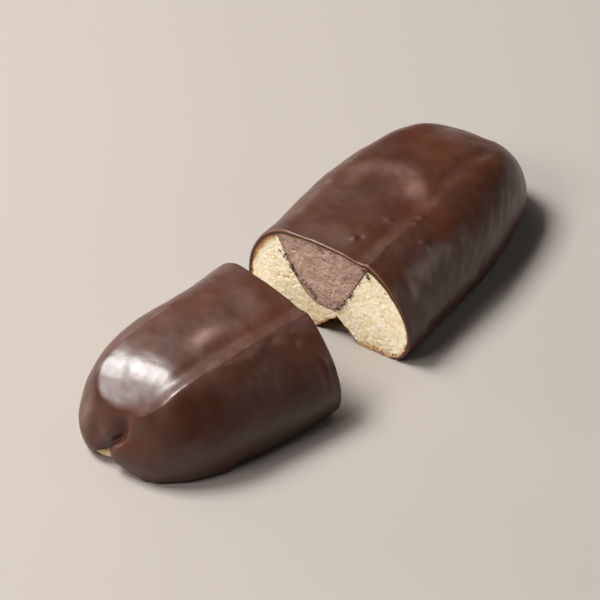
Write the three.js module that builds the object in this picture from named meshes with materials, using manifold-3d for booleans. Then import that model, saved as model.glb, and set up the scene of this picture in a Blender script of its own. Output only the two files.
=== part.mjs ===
// A chocolate cream bun: a folded sponge pad filled with chocolate cream and coated in dark
// chocolate, cut across and its two halves drawn a little apart.
// Millimetres, +Z up, the table is z = 0. The bun lies along X: the rear half points to +X and
// the front half to -X. "across" is measured from the bun's axis, positive towards -Y.

import * as THREE from 'three';
import { mergeVertices } from 'three/addons/utils/BufferGeometryUtils.js';
import Module from 'manifold-3d';

const wasm = await Module();
wasm.setup();

// ---- driving dimensions ----

const coatThickness = 1.0;
const seam = 0.3; // air left between neighbouring pieces

// The two halves. Each has its own length from the cut to the tip and its own roundness, as soft
// food does, and the front half lies drawn back from the cut and turned a little.
const rearHalf = {
  name: 'rear', direction: 1, back: 0, aside: 0, turn: 0,
  length: 74.8, width: 50, height: 27.2, planPower: 3.1, skew: -2.8, tipLeft: 0.77,
  fallReach: 1.012, fallPower: 3.8, leftPower: 2.1, rightPower: 1.75, foot: 20, widest: 9.4,
  creaseDepth: 1.6, creaseDrop: 1.2, creaseSpread: 8,
};
const frontHalf = {
  name: 'front', direction: -1, back: 20.9, aside: 2.1, turn: -14,
  length: 56, width: 48.9, height: 27.3, planPower: 2.97, skew: 3.9, tipLeft: 0.85,
  fallReach: 1.055, fallPower: 4.6, leftPower: 1.7, rightPower: 1.42, foot: 20.4, widest: 10.4,
  creaseDepth: 2.8, creaseDrop: 6.4, creaseSpread: 9.5,
};

// The cross-section at the cut, which both halves share: a broad top between two long ridges,
// bulging sides, and a flat sole with the fold's groove along it.
const cutSection = {
  width: 50, height: 27.3, leftPower: 2, rightPower: 1.5, foot: 18.8, widest: 9.4, settle: 0.35,
};
const ridge = {
  across: 11.9, tipRight: 0.71, rise: 0.3, dip: 0.45, dipBefore: 3.4, dipWidth: 2.4,
  rightFrom: -0.05, rightTo: 0.35, // where the crest and the sag of the right ridge set in
  fill: 0.9, fillWidth: 2, leftFill: 0.35, // chocolate that has gathered in the corner under it
};
const crown = { rise: 0.7, centre: -2, reach: 14 };
const groove = {
  centre: 2.5, halfWidth: 6.9, height: 6.3,
  tipKeep: 0.3, easeFrom: 0.75, easeFull: 0.98, swingFrom: 0.2, swingTo: 0.65, // shares of the length
};

// The fold between the lobes, showing as a crease down the middle of each tip, and the hollow
// beside it on the left lobe.
const crease = {
  start: 0.72, full: 0.94, halfWidth: 4.2, lowEnd: 5, lowTop: 4, highTop: 20,
  low: { z: 6, across: -1.8 }, high: { z: 16.5, across: 2 }, // it runs slanting from one to the other
  onEndFrom: 0.9, onEndTo: 1.2, dropFrom: 0.66, dropAcross: 2, dropEase: 0.4,
};
const hollow = { across: -4.6, width: 3, height: 11, tall: 5.5, depth: 0.55 };

// Slow unevenness of a hand-filled bun: low waves along and across the top, and bulges of the sides.
const swell = {
  lift: 0.16, longWave: 8.5, longSlant: 9, shortLift: 0.11, shortWave: 4.8, shortSlant: 6,
  bulge: 0.22, bulgeWave: 5.8, bulgeSlant: 8, bulgeFrom: 6, bulgeFull: 14, // mm from the axis
};

// The coat's lower edge: its usual height above the table, its waves, and its lift at the crease.
const hem = {
  height: 1.1, wave: 0.4, waveStep: 2.1, fineWave: 0.2, fineStep: 3.7, // steps per station of the outline
  tipFrom: 0.85, tipFull: 0.97, creaseLift: 3.6, creaseWidth: 4.4, creaseAcross: -1,
};

// Cream wedge in the fold, in the plane of the cut.
const wedge = {
  tipHeight: 7.9, tipLeft: -3, tipRight: 1.9, topHeight: 24.6,
  topLeft: -15.8, topRight: 11.1, leftPower: 0.55, rightPower: 0.85,
  reach: 0.9, stations: 9, rows: 8, before: 2, above: 4, narrowPower: 3.2, rise: 0.7,
};

// How far short of the tip the last section starts, and how late the sections turn.
const fan = { short: 21, share: 0.3125, power: 3 };

// How finely the surface is divided: stations round the plan, then faces down a section.
const stations = { side: 10, tip: 10 };
const steps = { top: 5, side: 7, tuck: 3, sole: 2, groove: 3 };

const colours = { coat: 0x3f241b, sponge: 0xe0cb8e, cream: 0x967a6c };

// ---- small helpers ----

const mix = (a, b, t) => a + (b - a) * t;
const clamp01 = (t) => Math.min(1, Math.max(0, t));
const bell = (distance, width) => Math.exp(-((distance / width) ** 2));
const quarter = (t, power) => (1 - clamp01(t) ** power) ** (1 / power);

function smooth(from, to, value) {
  const t = clamp01((value - from) / (to - from));
  return t * t * (3 - 2 * t);
}

// ---- plan outline ----

// Points on a superellipse from the right of the cut, round the tip, to the left of the cut.
// Along the sides they are even in x, and round the blunt tip they are even across.
function outlinePoints(length, halfWidth, power) {
  const shoulder = 0.5 ** (1 / power); // where x / length equals across / halfWidth
  const right = [];
  for (let i = 0; i < stations.side; i++) {
    const x = (shoulder * length * i) / stations.side;
    right.push({ x, across: halfWidth * quarter(x / length, power) });
  }
  for (let i = 0; i < stations.tip; i++) {
    const across = shoulder * halfWidth * (1 - i / stations.tip);
    right.push({ x: length * quarter(across / halfWidth, power), across });
  }
  const left = right.map(({ x, across }) => ({ x, across: -across })).reverse();
  return [...right, { x: length, across: 0 }, ...left];
}

// Each section starts on the axis at a hub, which stays short of the tip so that the sections
// fan out round it.
function hubOf(x, length) {
  const short = Math.min(fan.short, fan.share * length);
  return x - short * (x / length) ** fan.power;
}

// ---- surface of a half ----

// The groove lies right of the axis at the cut and runs on to it before the tip.
function grooveCentre(x, length) {
  return groove.centre * (1 - smooth(groove.swingFrom * length, groove.swingTo * length, x));
}

function grooveHeight(x, across, centre, length) {
  const tent = Math.max(0, 1 - Math.abs(across - centre) / groove.halfWidth);
  const ease = mix(1, groove.tipKeep, smooth(groove.easeFrom * length, groove.easeFull * length, x));
  return groove.height * tent * ease;
}

// The top between the ridges, highest left of the middle and sagging just inside the right ridge.
function topRise(across, toRidge, onRight) {
  const dome = crown.rise * (1 - ((across - crown.centre) / crown.reach) ** 2);
  const offAxis = smooth(0, ridge.dipBefore, across); // exactly nothing on the axis, where rows meet
  return dome - onRight * offAxis * ridge.dip * bell(toRidge - ridge.dipBefore, ridge.dipWidth);
}

function hemHeight(place, length, station) {
  const wave = hem.wave * Math.sin(station * hem.waveStep)
    + hem.fineWave * Math.sin(station * hem.fineStep + 1);
  const atTip = smooth(hem.tipFrom * length, hem.tipFull * length, place.x);
  const lift = hem.creaseLift * bell(place.across - hem.creaseAcross, hem.creaseWidth);
  return hem.height + wave * (1 - atTip) + lift * atTip;
}

// The crease draws the end in along a slanting line, with the hollow beside it, and the top
// slopes down towards it.
function creased({ x, across, z }, half, length, onEnd) {
  const { low, high } = crease;
  const atTip = smooth(crease.start * length, crease.full * length, x);
  const line = mix(low.across, high.across, clamp01((z - low.z) / (high.z - low.z)));
  const valley = clamp01(1 - Math.abs(across - line) / crease.halfWidth) ** 2;
  const dent = bell(across - hollow.across, hollow.width) * bell(z - hollow.height, hollow.tall);
  const inwards = half.creaseDepth * (valley + hollow.depth * dent) * onEnd * smooth(0.5, crease.lowEnd, z);
  const slope = clamp01((x / length - crease.dropFrom) / (crease.full - crease.dropFrom));
  const ramp = mix(slope, smooth(0, 1, slope), crease.dropEase);
  const down = half.creaseDrop * bell(across - crease.dropAcross, half.creaseSpread);
  return {
    x: x - inwards * atTip,
    across,
    z: z - down * ramp * smooth(crease.lowTop, crease.highTop, z),
  };
}

// Leaves the sole and the cut flat and swells what lies between.
function swollen({ x, across, z }, length) {
  const away = smooth(0, 0.1 * length, x);
  const lift = swell.lift * Math.sin(x / swell.longWave + across / swell.longSlant)
    + swell.shortLift * Math.sin(x / swell.shortWave - across / swell.shortSlant);
  const onSide = smooth(swell.bulgeFrom, swell.bulgeFull, Math.abs(across));
  const bulge = swell.bulge * onSide * Math.sin(x / swell.bulgeWave + z / swell.bulgeSlant);
  return {
    x,
    across: across + Math.sign(across) * bulge * away,
    z: z + lift * away * smooth(2, 14, z),
  };
}

// The section's own numbers, which pass from those of the cut to those of the half.
function sectionShape(half, x) {
  const settled = smooth(0, cutSection.settle * half.length, x);
  const shape = {};
  for (const key of ['width', 'height', 'leftPower', 'rightPower', 'foot', 'widest']) {
    shape[key] = mix(cutSection[key], half[key], settled);
  }
  return shape;
}

// One section of the half from the middle of the top to the coat's hem, or on to the middle of
// the sole. inset shrinks the whole surface, for what lies under the coat.
function sectionPoints(half, inset, place, station, withSole) {
  const length = half.length - inset;
  const shape = sectionShape(half, place.x);
  const halfWidth = shape.width / 2;
  const hub = hubOf(place.x, length);
  const rightness = (place.across / (half.width / 2 - inset) + 1) / 2;
  const onRight = smooth(ridge.rightFrom, ridge.rightTo, 2 * rightness - 1);
  const tipShare = mix(half.tipLeft, ridge.tipRight, rightness);
  const ridgeShare = mix(ridge.across / halfWidth, tipShare, (place.x / length) ** 4);
  const footShare = shape.foot / halfWidth;
  const power = mix(shape.leftPower, shape.rightPower, rightness);
  const widen = (halfWidth - inset) / (half.width / 2 - inset);
  const rim = place.across * widen;
  const centre = grooveCentre(place.x, length);
  const spoke = Math.hypot(rim, place.x - hub);
  const fill = inset > 0 ? ridge.fill * mix(ridge.leftFill, 1, rightness) : 0;
  const points = [];

  const domeAt = (share) => topRise(rim * share, (ridgeShare - share) * spoke, onRight);

  function add(share, height, onSole) {
    const x = mix(hub, place.x, share);
    const across = rim * share;
    const under = grooveHeight(x, across, centre, length);
    let z = height * quarter(x / (length * half.fallReach), half.fallPower);
    if (onSole) z = under;
    else if (height < shape.widest) z = under + z * (1 - under / shape.widest);
    const skewed = half.skew * ((2 * place.across) / half.width) * (place.x / length) ** 4 * share;
    const onEnd = smooth(crease.onEndFrom * ridgeShare, crease.onEndTo * ridgeShare, share);
    const point = creased({ x, across, z }, half, length, onEnd);
    points.push(swollen({ ...point, x: point.x - skewed }, length));
  }

  const top = shape.height - inset;
  for (let j = 0; j <= steps.top; j++) {
    const share = ridgeShare * (j / steps.top);
    const crest = j === steps.top && inset === 0 ? ridge.rise * onRight : 0;
    const filled = fill * bell(Math.abs(rim * share) - ridge.across, ridge.fillWidth);
    add(share, top + domeAt(share) - filled + crest, false);
  }
  const shoulder = top + domeAt(ridgeShare) - fill;
  for (let j = 1; j <= steps.side; j++) {
    const angle = (Math.PI / 2) * (j / steps.side);
    const out = Math.sin(angle) ** (2 / power);
    const up = Math.max(0, Math.cos(angle)) ** (2 / power);
    add(mix(ridgeShare, 1, out), mix(shape.widest, shoulder, up), false);
  }
  const hemShare = withSole ? 0 : hemHeight(place, length, station) / shape.widest;
  const tuckEnd = Math.asin(clamp01(1 - hemShare));
  for (let j = 1; j <= steps.tuck; j++) {
    const angle = tuckEnd * (j / steps.tuck);
    add(mix(footShare, 1, Math.cos(angle)), shape.widest * (1 - Math.sin(angle)), false);
  }
  if (!withSole) return points;

  const lipShare = (groove.halfWidth + mix(-centre, centre, rightness)) / halfWidth;
  const apexShare = mix(0.4 * lipShare, centre / halfWidth, rightness);
  for (let j = 1; j <= steps.sole; j++) add(mix(footShare, lipShare, j / steps.sole), 0, true);
  for (let j = 1; j <= steps.groove; j++) add(mix(lipShare, apexShare, j / steps.groove), 0, true);
  add(apexShare / 2, 0, true);
  add(0, 0, true);
  return points;
}

// ---- meshes and solids ----

// Collects points and faces in the part's frame.
class Skin {
  constructor(half) {
    this.half = half;
    this.positions = [];
    this.indices = [];
  }

  addPoint({ x, across, z }) {
    this.positions.push(this.half.direction * x, -across, z);
    return this.positions.length / 3 - 1;
  }

  addRows(rows) {
    return rows.map((row) => row.map((point) => this.addPoint(point)));
  }

  addQuad(a, b, c, d) {
    this.indices.push(a, b, c, a, c, d);
  }

  // The faces between neighbouring rows of points.
  addSheet(rows, flipped = false) {
    for (let i = 0; i + 1 < rows.length; i++) {
      for (let j = 0; j + 1 < rows[i].length; j++) {
        const corners = [rows[i][j], rows[i + 1][j], rows[i + 1][j + 1], rows[i][j + 1]];
        this.addQuad(...(flipped ? corners.reverse() : corners));
      }
    }
  }

  // A flat lid over a ring of points that share one x. Its faces follow the ring's direction.
  addLid(ring) {
    const flat = ring.map((i) => new THREE.Vector2(this.positions[3 * i + 1], this.positions[3 * i + 2]));
    const flipped = THREE.ShapeUtils.isClockWise(flat);
    for (const face of THREE.ShapeUtils.triangulateShape(flat, [])) {
      const corners = face.map((i) => ring[i]);
      this.indices.push(...(flipped ? corners.reverse() : corners));
    }
  }

  toGeometry() {
    const geometry = new THREE.BufferGeometry();
    geometry.setAttribute('position', new THREE.Float32BufferAttribute(this.positions, 3));
    geometry.setIndex(this.indices);
    return mergeVertices(geometry, 1e-4);
  }
}

// Drops faces whose corners have merged.
function cleanIndices(index) {
  const kept = [];
  for (let i = 0; i < index.length; i += 3) {
    const [a, b, c] = [index[i], index[i + 1], index[i + 2]];
    if (a !== b && b !== c && c !== a) kept.push(a, b, c);
  }
  return kept;
}

// A closed skin as a solid whose faces point outwards.
function solidOf(skin) {
  const geometry = skin.toGeometry();
  const vertProperties = geometry.attributes.position.array;
  const triVerts = new Uint32Array(cleanIndices(geometry.index.array));
  const made = new wasm.Manifold(new wasm.Mesh({ numProp: 3, vertProperties, triVerts }));
  if (made.volume() > 0) return made;
  triVerts.reverse();
  return new wasm.Manifold(new wasm.Mesh({ numProp: 3, vertProperties, triVerts }));
}

function geometryOf(solid) {
  const { vertProperties, triVerts, numProp } = solid.getMesh();
  const positions = [];
  for (let i = 0; i < vertProperties.length; i += numProp) {
    positions.push(vertProperties[i], vertProperties[i + 1], vertProperties[i + 2]);
  }
  const geometry = new THREE.BufferGeometry();
  geometry.setAttribute('position', new THREE.Float32BufferAttribute(positions, 3));
  geometry.setIndex(new THREE.BufferAttribute(triVerts, 1));
  geometry.computeVertexNormals();
  return geometry;
}

// ---- the pieces ----

function sectionRows(half, inset, withSole) {
  return outlinePoints(half.length - inset, half.width / 2 - inset, half.planPower)
    .map((place, station) => sectionPoints(half, inset, place, station, withSole));
}

// The filled half under its coat.
function coreSolid(half, inset) {
  const skin = new Skin(half);
  const rows = skin.addRows(sectionRows(half, inset, true));
  skin.addSheet(rows);
  const right = rows[0];
  const left = rows[rows.length - 1];
  skin.addLid([...right, ...left.slice(1, -1).reverse()]);
  return solidOf(skin);
}

// The coat: an outer and an inner sheet joined along the hem and across the cut.
function coatSolid(half) {
  const skin = new Skin(half);
  const outer = skin.addRows(sectionRows(half, 0, false));
  const inner = skin.addRows(sectionRows(half, coatThickness, false));
  skin.addSheet(outer);
  skin.addSheet(inner, true);
  const last = outer[0].length - 1;
  const ends = outer.length - 1;
  skin.addSheet([outer.map((row) => row[last]), inner.map((row) => row[last])], true);
  skin.addSheet([outer[0], inner[0]], true);
  skin.addSheet([outer[ends], inner[ends]]);
  return solidOf(skin);
}

// The wedge of cream, taller than the bun and narrowing towards the tip. It starts before the
// cut, so that the cut trims it. grow widens it all round.
function wedgeSolid(half, grow) {
  const reach = half.length * wedge.reach + grow;
  const above = half.height + wedge.above;
  const edges = [
    { tip: wedge.tipLeft, top: wedge.topLeft, power: wedge.leftPower, out: -grow },
    { tip: wedge.tipRight, top: wedge.topRight, power: wedge.rightPower, out: grow },
  ];
  const rings = [];
  for (let i = 0; i <= wedge.stations; i++) {
    const t = Math.sin((Math.PI / 2) * (i / wedge.stations));
    const x = mix(-wedge.before, reach, t);
    const narrow = Math.max(0.02, quarter(t, wedge.narrowPower));
    const lift = wedge.rise * (half.height - wedge.tipHeight) * t ** 5;
    const [leftEdge, rightEdge] = edges.map(({ tip, top, power, out }) => {
      const points = [];
      for (let j = 0; j <= wedge.rows; j++) {
        const up = j / wedge.rows;
        const z = mix(wedge.tipHeight - grow, wedge.topHeight, up) + lift * (1 - up);
        points.push({ x, across: mix(tip, top, up ** power) * narrow + out, z });
      }
      points.push({ x, across: top * narrow + out, z: above });
      return points;
    });
    rings.push([...leftEdge.reverse(), ...rightEdge]);
  }
  const skin = new Skin(half);
  const rows = skin.addRows(rings);
  skin.addSheet(rows.map((row) => [...row, row[0]]));
  skin.addLid(rows[0]);
  skin.addLid(rows[rows.length - 1].slice().reverse());
  return solidOf(skin);
}

function foodMesh(name, solid, color, roughness) {
  const material = new THREE.MeshStandardMaterial({ color, roughness, metalness: 0 });
  const mesh = new THREE.Mesh(geometryOf(solid), material);
  mesh.name = name;
  return mesh;
}

function makeHalf(half) {
  const core = coreSolid(half, coatThickness + seam);
  const sponge = core.subtract(wedgeSolid(half, seam));
  const cream = core.intersect(wedgeSolid(half, 0));
  const group = new THREE.Group();
  group.add(
    foodMesh(`${half.name}_sponge`, sponge, colours.sponge, 0.95),
    foodMesh(`${half.name}_cream`, cream, colours.cream, 0.7),
    foodMesh(`${half.name}_chocolate`, coatSolid(half), colours.coat, 0.35),
  );
  group.position.set(-half.back, half.aside, 0);
  group.rotation.z = THREE.MathUtils.degToRad(half.turn);
  return group;
}

// ---- the bun, centred over its own footprint ----

const bun = new THREE.Group();
bun.add(makeHalf(rearHalf), makeHalf(frontHalf));
bun.updateMatrixWorld(true);
const box = new THREE.Box3().setFromObject(bun, true);
bun.position.set(-(box.min.x + box.max.x) / 2, -(box.min.y + box.max.y) / 2, -box.min.z);

export default bun;
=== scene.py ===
import math
import bmesh
import bpy
import numpy as np
from mathutils import Matrix, Vector, noise


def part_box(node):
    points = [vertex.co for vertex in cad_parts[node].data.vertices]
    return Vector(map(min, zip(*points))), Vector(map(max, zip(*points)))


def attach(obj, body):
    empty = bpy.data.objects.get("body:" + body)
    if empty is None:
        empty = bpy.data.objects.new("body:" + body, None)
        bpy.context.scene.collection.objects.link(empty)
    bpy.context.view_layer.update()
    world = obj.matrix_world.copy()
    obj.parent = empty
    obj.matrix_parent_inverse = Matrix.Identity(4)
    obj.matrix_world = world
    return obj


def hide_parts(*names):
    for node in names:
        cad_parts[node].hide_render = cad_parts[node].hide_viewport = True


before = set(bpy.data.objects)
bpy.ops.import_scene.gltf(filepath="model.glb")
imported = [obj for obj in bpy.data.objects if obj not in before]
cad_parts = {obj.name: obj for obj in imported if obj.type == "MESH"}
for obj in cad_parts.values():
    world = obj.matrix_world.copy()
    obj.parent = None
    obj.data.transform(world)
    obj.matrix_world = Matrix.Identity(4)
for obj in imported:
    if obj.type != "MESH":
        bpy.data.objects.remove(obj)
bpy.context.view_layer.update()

mm = 0.001
rng = np.random.default_rng(17)  # scatters the crumbs

# The form is that of the solids, in millimetres. In a half's own frame x runs from the cut
# to the tip, across points to the right and z up.
cut = {"x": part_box("rear_chocolate")[0].x / mm, "y": -3.678}  # where the bun's axis meets the rear cut
rearHalf = {
    "name": "rear", "direction": 1, "back": 0, "aside": 0, "turn": 0,
    "length": 74.8, "width": 50, "height": 27.2, "foot": 20, "widest": 9.4,
    "planPower": 3.1, "skew": -2.8, "tipLeft": 0.77,
    "fallReach": 1.012, "fallPower": 3.8, "leftPower": 2.1, "rightPower": 1.75,
    "creaseDepth": 1.6, "creaseDrop": 1.2,
}
frontHalf = {
    "name": "front", "direction": -1, "back": 20.9, "aside": 2.1, "turn": -14,
    "length": 56, "width": 48.9, "height": 27.3, "foot": 20.4, "widest": 10.4,
    "planPower": 2.97, "skew": 3.9, "tipLeft": 0.85,
    "fallReach": 1.055, "fallPower": 4.6, "leftPower": 1.7, "rightPower": 1.42,
    "creaseDepth": 2.8, "creaseDrop": 6.4,
}
cutSection = {
    "width": 50, "height": 27.3, "leftPower": 2, "rightPower": 1.5, "foot": 18.8, "widest": 9.4, "settle": 0.35,
}
plan = {
    "hubMost": 21, "hubShare": 3.2, "hubPower": 3, "skewPower": 4,
    "samples": 4001, "alongWeight": 2.6, "tipExtra": 1.5, "tipWidth": 0.2, "tipFrom": 0.5,
}
ridge = {
    "across": 11.9, "tipRight": 0.71, "tipPower": 4, "rise": 0.34, "rightFrom": -0.05, "rightFull": 0.35,
    "dip": 0.45, "dipBefore": 3.4, "dipWidth": 2.4, "fill": 0.9, "fillWidth": 2, "leftFill": 0.35,
}
crown = {"rise": 0.7, "centre": -2, "reach": 14}
groove = {
    "centre": 2.5, "straightFrom": 0.2, "straightFull": 0.65,
    "halfWidth": 6.9, "height": 6.3, "tipKeep": 0.3, "shrinkFrom": 0.75, "shrinkFull": 0.98,
}
crease = {
    "start": 0.72, "full": 0.94, "halfWidth": 3.6, "low": (6, -1.8), "high": (16.5, 2),
    "onEnd": (0.95, 1.2), "lowStart": 0.5, "lowEnd": 5, "lowTop": 4, "highTop": 20,
    "dropStart": 0.64, "dropFull": 0.94, "dropAcross": 2, "dropLeft": 24, "dropRight": 12,
}
hollow = {"across": -4.6, "width": 3, "height": 11, "tall": 5.5, "depth": 0.55}
swell = {
    "lift": 0.16, "longWave": 8.5, "longSlant": 9, "shortLift": 0.11, "shortWave": 4.8, "shortSlant": 6,
    "bulge": 0.22, "bulgeWave": 5.8, "bulgeSlant": 8, "bulgeFrom": 6, "bulgeFull": 14,
    "calmAtCut": 0.1, "above": (2, 14),
}
hem = {
    "height": 0.95, "creaseLift": 4.3, "creaseWidth": 4.8, "creaseAcross": -2.4, "tipFrom": 0.85, "tipFull": 0.97,
}
wedge = {
    "tipHeight": 7.9, "tipLeft": -3, "tipRight": 1.9, "topHeight": 24.6, "topLeft": -15.8, "topRight": 11.1,
    "leftPower": 0.55, "rightPower": 0.85, "narrowPower": 3.2,
}
rippleFalloff, rippleStep = 0.9, 2.0
weldDistance = 2e-4


def mix(a, b, t):
    return a + (b - a) * t


def smooth(low, high, value):
    t = np.clip((value - low) / (high - low), 0, 1)
    return t * t * (3 - 2 * t)


def bell(distance, width):
    return np.exp(-((distance / width) ** 2))


def spot(points, at, size):
    return np.exp(-(((points - at) / size) ** 2).sum(1))


def quarter(t, power):  # height of a rounded corner, 1 at 0 and 0 at 1
    return (1 - np.clip(t, 0, 1) ** power) ** (1 / power)


def ripple(points, size, octaves=3, seed=0.0):  # smooth noise from about -1 to 1, size in mm
    flat = np.asarray(points, float).reshape(-1, 3) / size + seed
    values = [noise.fractal(Vector(p), rippleFalloff, rippleStep, octaves) for p in flat.tolist()]
    return np.array(values).reshape(np.shape(points)[:-1])


def cellDistance(points, size, shift):  # distance to the nearest of many scattered seeds
    return np.array([noise.voronoi(Vector(p))[0][0] for p in (points / size + shift).tolist()])


def grooveCentre(x, length):
    return groove["centre"] * (1 - smooth(groove["straightFrom"] * length, groove["straightFull"] * length, x))


# What a section needs, for stations given on the unit outline as u along and w across.
def stationValues(half, u, w, inset):
    length = half["length"] - inset
    halfWide = half["width"] / 2 - inset
    x, across = u * length, w * halfWide
    settled = smooth(0, cutSection["settle"] * half["length"], x)
    shape = {key: mix(cutSection[key], half[key], settled)
             for key in ("width", "height", "leftPower", "rightPower", "foot", "widest")}
    wide = shape["width"] / 2
    right = (w + 1) / 2
    tipShare = mix(half["tipLeft"], ridge["tipRight"], right)
    return {
        **shape, "length": length, "x": x, "placeAcross": across, "inset": inset, "right": right, "wide": wide,
        "hub": x - np.minimum(plan["hubMost"], length / plan["hubShare"]) * u ** plan["hubPower"],
        "ridgeShare": mix(ridge["across"] / wide, tipShare, u ** ridge["tipPower"]),
        "footShare": shape["foot"] / wide,
        "power": mix(shape["leftPower"], shape["rightPower"], right),
        "rim": across * (wide - inset) / halfWide,
        "centre": grooveCentre(x, length), "onRight": smooth(ridge["rightFrom"], ridge["rightFull"], w),
    }


def fillShare(v):  # the corner under the ridge is filled more on the right
    return ridge["leftFill"] + (1 - ridge["leftFill"]) * v["right"]


def topRise(v, share):  # the dome of the top and the sag beside the right ridge
    dome = crown["rise"] * (1 - ((v["rim"] * share - crown["centre"]) / crown["reach"]) ** 2)
    toRidge = (v["ridgeShare"] - share) * np.hypot(v["rim"], v["x"] - v["hub"])
    return dome - v["onRight"] * ridge["dip"] * bell(toRidge - ridge["dipBefore"], ridge["dipWidth"])


def grooveHeight(v, x, across):
    length = v["length"]
    tent = np.maximum(0, 1 - np.abs(across - v["centre"]) / groove["halfWidth"])
    atTip = smooth(groove["shrinkFrom"] * length, groove["shrinkFull"] * length, x)
    return groove["height"] * tent * mix(1, groove["tipKeep"], atTip)


# How far the fold pushes the end wall in, and how far the slope above it sinks.
def foldIn(half, v, x, across, z, share):
    length = v["length"]
    nearEnd, fullEnd = (number * v["ridgeShare"] for number in crease["onEnd"])
    onEnd = smooth(nearEnd, fullEnd, share) * smooth(crease["lowStart"], crease["lowEnd"], z)
    (lowZ, lowAcross), (highZ, highAcross) = crease["low"], crease["high"]
    line = mix(lowAcross, highAcross, np.clip((z - lowZ) / (highZ - lowZ), 0, 1))
    valley = np.clip(1 - np.abs(across - line) / crease["halfWidth"], 0, 1) ** 2
    dent = bell(across - hollow["across"], hollow["width"]) * bell(z - hollow["height"], hollow["tall"])
    atTip = smooth(crease["start"] * length, crease["full"] * length, x)
    inwards = half["creaseDepth"] * (valley + hollow["depth"] * dent) * onEnd * atTip
    ramp = np.clip((x / length - crease["dropStart"]) / (crease["dropFull"] - crease["dropStart"]), 0, 1) ** 2
    aside = across - crease["dropAcross"]
    toRight = np.exp(-(aside / crease["dropRight"]) ** 4)
    down = np.where(aside > 0, toRight, np.clip(1 + aside / crease["dropLeft"], 0, 1))
    return inwards, half["creaseDrop"] * down * smooth(crease["lowTop"], crease["highTop"], z) * ramp


# Points of the surface in the half's own frame, for a share of the way from the hub to the rim.
def place(half, v, share, height, onSole=False):
    length = v["length"]
    x = mix(v["hub"], v["x"], share)
    across = v["rim"] * share
    under = grooveHeight(v, x, across)
    z = height * quarter(x / (length * half["fallReach"]), half["fallPower"])
    if onSole:
        z = under + 0 * z
    else:
        z = np.where(height < v["widest"], under + z * (1 - under / v["widest"]), z)
    skewed = half["skew"] * (2 * v["placeAcross"] / half["width"]) * (v["x"] / length) ** plan["skewPower"] * share
    inwards, sunk = foldIn(half, v, x, across, z, share)
    x = x - inwards - skewed
    z = z - sunk
    away = smooth(0, swell["calmAtCut"] * length, x)
    lift = swell["lift"] * np.sin(x / swell["longWave"] + across / swell["longSlant"])
    lift = lift + swell["shortLift"] * np.sin(x / swell["shortWave"] - across / swell["shortSlant"])
    onSide = smooth(swell["bulgeFrom"], swell["bulgeFull"], np.abs(across))
    bulge = swell["bulge"] * onSide * np.sin(x / swell["bulgeWave"] + z / swell["bulgeSlant"])
    return np.stack(np.broadcast_arrays(
        x, across + np.sign(across) * bulge * away, z + lift * away * smooth(*swell["above"], z)), -1)


# Unit outline from the right of the cut, round the tip, to the left, with more stations at the crease.
def outline(power, count):
    t = np.linspace(0, math.pi / 2, plan["samples"])
    u, w = np.sin(t) ** (2 / power), np.cos(t) ** (2 / power)
    closer = 1 + plan["tipExtra"] * bell(w[1:], plan["tipWidth"]) * (u[1:] > plan["tipFrom"])
    steps = np.hypot(np.diff(u) * plan["alongWeight"], np.diff(w)) * closer
    total = np.r_[0, np.cumsum(steps)]
    wanted = np.linspace(0, total[-1], count // 2 + 1)
    u, w = np.interp(wanted, total, u), np.interp(wanted, total, w)
    return np.r_[u, u[-2::-1]], np.r_[w, -w[-2::-1]]


def toFrame(half, points):  # from a half's own frame in mm to the object's frame in metres
    a = math.radians(half["turn"])
    x, y, z = points[..., 0] * half["direction"], -points[..., 1], points[..., 2]
    return np.stack([x * math.cos(a) - y * math.sin(a) - half["back"] + cut["x"],
                     x * math.sin(a) + y * math.cos(a) + half["aside"] + cut["y"], z], -1) * mm


def coordinates(mesh, what="co"):
    flat = np.empty(len(mesh.vertices) * 3)
    mesh.vertices.foreach_get(what, flat)
    return flat.reshape(-1, 3)


def setValues(mesh, key, numbers):
    layer = mesh.attributes.get(key) or mesh.attributes.new(key, "FLOAT", "POINT")
    layer.data.foreach_set("value", np.ascontiguousarray(numbers, np.float32))


def getValues(mesh, key):
    flat = np.empty(len(mesh.vertices), np.float32)
    mesh.attributes[key].data.foreach_get("value", flat)
    return flat.astype(float)


# A flat grid whose vertices are then moved to the points, in mm.
def meshFromGrid(name, points, attributes):
    rows, columns = points.shape[:2]
    bm = bmesh.new()
    bmesh.ops.create_grid(bm, x_segments=rows - 1, y_segments=columns - 1, size=0.5)
    mesh = bpy.data.meshes.new(name)
    bm.to_mesh(mesh)
    bm.free()
    flat = coordinates(mesh)
    i = np.rint((flat[:, 0] + 0.5) * (rows - 1)).astype(int)
    j = np.rint((flat[:, 1] + 0.5) * (columns - 1)).astype(int)
    mesh.vertices.foreach_set("co", points[i, j].ravel())
    for key, numbers in attributes.items():
        setValues(mesh, key, numbers[i, j])
    return mesh


# Joins meshes, welds what meets and makes every face point out.
def welded(meshes, name):
    bm = bmesh.new()
    for mesh in meshes:
        bm.from_mesh(mesh)
    bmesh.ops.remove_doubles(bm, verts=bm.verts, dist=weldDistance)
    bmesh.ops.recalc_face_normals(bm, faces=bm.faces)
    joined = bpy.data.meshes.new(name)
    bm.to_mesh(joined)
    bm.free()
    return joined


# Fills what is still open and keeps the result in the mesh.
def closeUp(bm, loop, mesh):
    bmesh.ops.edgeloop_fill(bm, edges=loop)
    bmesh.ops.triangulate(bm, faces=[f for f in bm.faces if len(f.verts) > 4])
    bmesh.ops.recalc_face_normals(bm, faces=bm.faces)
    bm.to_mesh(mesh)
    bm.free()


def intoFrame(mesh, half):
    mesh.vertices.foreach_set("co", toFrame(half, coordinates(mesh)).ravel())
    if half["direction"] > 0:
        mesh.flip_normals()
    mesh.update()


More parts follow.
